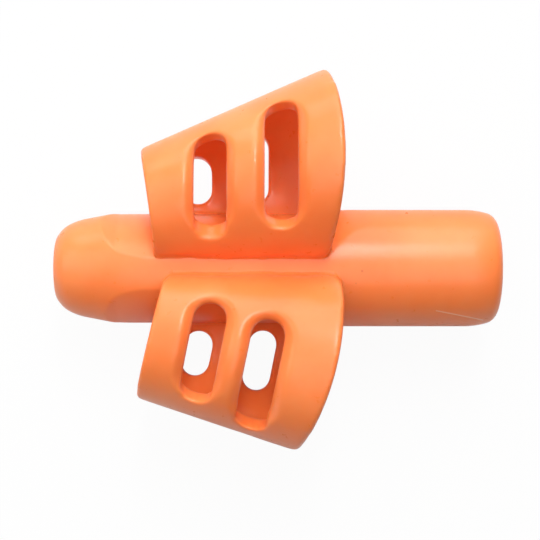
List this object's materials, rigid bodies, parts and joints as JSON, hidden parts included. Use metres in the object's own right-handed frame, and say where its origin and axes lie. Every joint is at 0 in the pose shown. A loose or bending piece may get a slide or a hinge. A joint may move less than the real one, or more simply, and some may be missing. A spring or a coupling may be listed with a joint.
{
  "type": "pencil grip",
  "caption": "Soft silicone pencil grip: a tapered barrel pushed over a pencil, with flared, vented sleeves for the index finger and thumb that flex at their roots.",
  "frame": {"origin": "on the bore's axis, halfway along the barrel", "axes": "+X along the bore towards the pencil's tail, +Y towards the index finger's sleeve, +Z out of the front between the sleeves, towards the camera"},
  "size_m": [0.05, 0.0425, 0.0219],
  "materials": {
    "silicone": "satin orange silicone"
  },
  "bodies": {
    "barrel": {"pencil_tube": "silicone"},
    "index": {"index_sleeve": "silicone"},
    "thumb": {"thumb_sleeve": "silicone"}
  },
  "joints": [
    {"name": "index_root_flex", "type": "hinge", "parent": "barrel", "child": "index", "pos_m": [0, 0, 0], "axis": [-1, 0, 0], "range_deg": [-3, 15], "stiffness_Nm_per_rad": 0.06},
    {"name": "thumb_root_flex", "type": "hinge", "parent": "barrel", "child": "thumb", "pos_m": [0, 0, 0], "axis": [1, 0, 0], "range_deg": [-3, 15], "stiffness_Nm_per_rad": 0.06}
  ]
}
